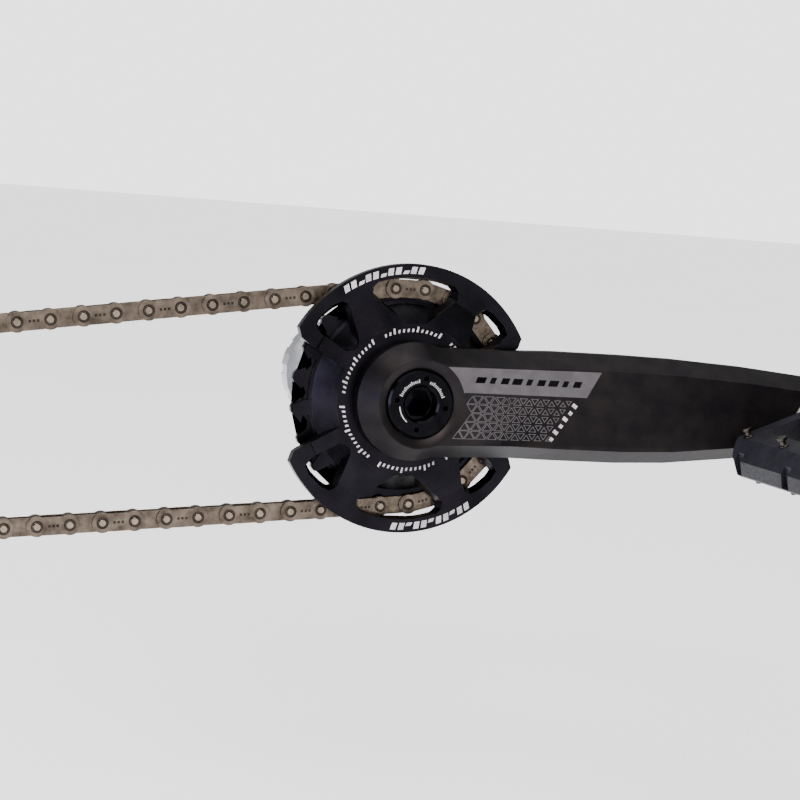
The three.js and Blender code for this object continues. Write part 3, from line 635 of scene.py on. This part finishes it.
def build_extractor():
    ring = solid_copy("extractor_ring")
    ease_edges(ring, 0.2 * MM)
    finished(ring, "extractor_ring_turned", "crank", gloss_black, ("extractor_ring",))
    ticks = [(degrees, TICK_RADIUS, 1.0 if degrees % 20 else 1.4, 0.35, 0) for degrees in range(20, 165, 5)
             if not 70 < degrees < 96]
    marks = marks_on_ring(ticks, EXTRACTOR_FACE, "ticks")
    finished(marks, "extractor_ticks", "crank", etched_white)
    arc = [polar(9.4 * MM, d) for d in range(188, 233, 4)] + [polar(9 * MM, d) for d in range(232, 187, -4)]
    arrow = outline_plate([(p.x, p.z) for p in arc], -CHAIN_LINE - EXTRACTOR_FACE - MARK,
                          -CHAIN_LINE - EXTRACTOR_FACE)
    finished(arrow, "extractor_arc", "crank", etched_white)
    bolt = solid_copy("crank_bolt")
    ease_edges(bolt, 0.25 * MM)
    finished(bolt, "crank_bolt_turned", "crank", gloss_black, ("crank_bolt",))


# ---------- pedal ----------

def pedal_matrix():
    """From the pedal's own level frame, centred on its axle in the plane of the teeth, to its place."""
    centre = Vector((ARM_LENGTH, -CHAIN_LINE, 0))
    return Matrix.Translation(centre) @ Matrix.Rotation(-PEDAL_TILT, 4, "Y")


def build_pedal():
    platform = solid_copy("pedal_platform")
    grooves = []
    for end in (-1, 1):
        for distance in GROOVE_PLACES:
            deselect()
            spot = (end * PEDAL_HALF_LENGTH, -distance * MM, 0)
            bpy.ops.mesh.primitive_cube_add(size=1, location=spot, rotation=(GROOVE_LEAN, 0, 0),
                                            scale=GROOVE_SIZE)
            groove = bpy.context.active_object
            settle(groove)
            groove.data.transform(pedal_matrix())
            grooves.append(groove)
    cut(platform, grooves)
    ease_edges(platform, 0.5 * MM, 35, 2)
    finished(platform, "pedal_body_moulded", "pedal", pedal_nylon, ("pedal_platform",))
    # Each traction pin: a headed stud on a narrower neck.
    pins = []
    stud = spindle_disc(PIN_RADIUS, 0, PIN_DEPTH + PIN_HEIGHT, 20)
    stud.data.transform(Matrix.Rotation(math.pi / 2, 4, "X"))
    low = min(vertex.co.z for vertex in stud.data.vertices)
    stud.data.transform(Matrix.Translation((0, 0, -low + PEDAL_HALF_THICK - PIN_DEPTH)))
    choose(stud)
    bpy.ops.object.mode_set(mode="EDIT")
    for height in (0.4 * MM, 0.8 * MM, 2.4 * MM, 2.7 * MM):
        bpy.ops.mesh.select_all(action="SELECT")
        bpy.ops.mesh.bisect(plane_co=(0, 0, PEDAL_HALF_THICK + height), plane_no=(0, 0, 1))
    bpy.ops.object.mode_set(mode="OBJECT")
    for vertex in stud.data.vertices:
        if PEDAL_HALF_THICK + 0.7 * MM < vertex.co.z < PEDAL_HALF_THICK + 2.5 * MM:
            vertex.co.x *= 0.62
            vertex.co.y *= 0.62
    ease_edges(stud, 0.2 * MM)
    middle = (PEDAL_INBOARD + PEDAL_OUTBOARD) / 2
    nodes = []
    for face, side in ((1, "top"), (-1, "under")):
        for step in range(8):
            end = -1 if step < 4 else 1
            offset = (-0.5, -1 / 6, 1 / 6, 0.5)[step % 4] * PIN_SPREAD
            spot = Matrix.Translation((end * PIN_ROW, -middle - offset, 0))
            flip = Matrix.Rotation(math.pi, 4, "X") if face < 0 else Matrix.Identity(4)
            pins.append(copy_at(stud, pedal_matrix() @ spot @ flip))
            nodes.append(f"pedal_pin_{side}_{step + 1}")
    bpy.data.objects.remove(stud)
    finished(joined(pins, "pins"), "pedal_traction_pins", "pedal", traction_steel, nodes)


build_chain()
build_guard()
build_arm()
build_extractor()
build_pedal()

# ---------- CAD nodes that stay ----------

SLOT_FINISH = {
    "lockring_black": gloss_black, "spindle_steel": bright_steel,
    "cup_black": guard_black, "cup_silver": clear_anodised,
    "nylon_grey": pedal_nylon, "seal_rubber": rubber, "bearing_steel": bright_steel,
    "pedal_nylon": pedal_nylon, "bushing_bronze": bronze, "axle_steel": bright_steel,
    "anodised_black": guard_black, "blasted_black": arm_black, "bolt_black": gloss_black,
    "gloss_black": gloss_black, "chain_nickel": chain_nickel, "pin_steel": bright_steel,
}
for part in frame["record"]["subparts"]:
    node = frame["nodes"][part["node"]]
    node.data.materials.clear()
    node.data.materials.append(SLOT_FINISH[part["material_slot"]])


# ---------- studio ----------

def build_studio():
    """A wide pale floor, soft light from above, and softboxes at the left and above the camera."""
    deselect()
    bpy.ops.mesh.primitive_grid_add(x_subdivisions=8, y_subdivisions=8, size=60, location=(0, 0, -0.16))
    floor = bpy.context.active_object
    settle(floor)
    floor.name = "studio_floor"
    material, tree, shader, place = start_finish("painted_floor", "#f4f4f5", 0.0, 0.9)
    blotches(tree, shader, place, 0.4, "#f2f2f3", "#f6f6f7")
    shader.inputs["Emission Color"].default_value = linear("#f6f6f8")
    shader.inputs["Emission Strength"].default_value = 0.9
    floor.data.materials.append(material)
    sun = bpy.data.lights.new("overhead_sky", "SUN")
    sun.energy = 2.6
    sun.angle = math.radians(70)
    overhead = bpy.data.objects.new("overhead_sky", sun)
    overhead.rotation_euler = (math.radians(14), math.radians(-6), 0)
    bpy.context.scene.collection.objects.link(overhead)
    lights = (
        ("left_softbox", (-1.1, -0.45, 0.12), (0, -0.06, 0), 0.45, 0.7, 13.0, "#dcdaff"),
        ("upper_softbox", (-0.25, -1.15, 0.72), (0, -0.06, 0), 0.9, 0.35, 11.0, "#fff6ee"),
    )
    for name, spot, aim, width, height, power, colour in lights:
        lamp = bpy.data.lights.new(name, "AREA")
        lamp.shape = "RECTANGLE"
        lamp.size = width
        lamp.size_y = height
        lamp.energy = power
        lamp.color = linear(colour)[:3]
        box = bpy.data.objects.new(name, lamp)
        box.location = spot
        box.rotation_euler = (Vector(aim) - Vector(spot)).to_track_quat("-Z", "Y").to_euler()
        bpy.context.scene.collection.objects.link(box)
    world = bpy.data.worlds.new("studio_air")
    world.use_nodes = True
    tree = world.node_tree
    tree.nodes.clear()
    lit = add_node(tree, "ShaderNodeBackground", {"Color": linear("#f3f5f8"), "Strength": 0.55})
    seen = add_node(tree, "ShaderNodeBackground", {"Color": linear("#fbfbfc"), "Strength": 2.8})
    path = add_node(tree, "ShaderNodeLightPath")
    mixed = add_node(tree, "ShaderNodeMixShader", {},
                     {0: path.outputs["Is Camera Ray"], 1: lit.outputs[0], 2: seen.outputs[0]})
    add_node(tree, "ShaderNodeOutputWorld", {}, {"Surface": mixed.outputs[0]})
    bpy.context.scene.world = world


def build_camera():
    data = bpy.data.cameras.new("camera")
    data.lens = CAMERA_LENS
    data.sensor_width = 36
    camera = bpy.data.objects.new("camera", data)
    level = Vector(CAMERA_AIM).to_track_quat("-Z", "Y").to_matrix().to_4x4()
    roll = Matrix.Rotation(CAMERA_ROLL, 4, "Z")
    camera.matrix_world = Matrix.Translation(CAMERA_SPOT) @ level @ roll
    bpy.context.scene.collection.objects.link(camera)
    bpy.context.scene.camera = camera


build_studio()
build_camera()
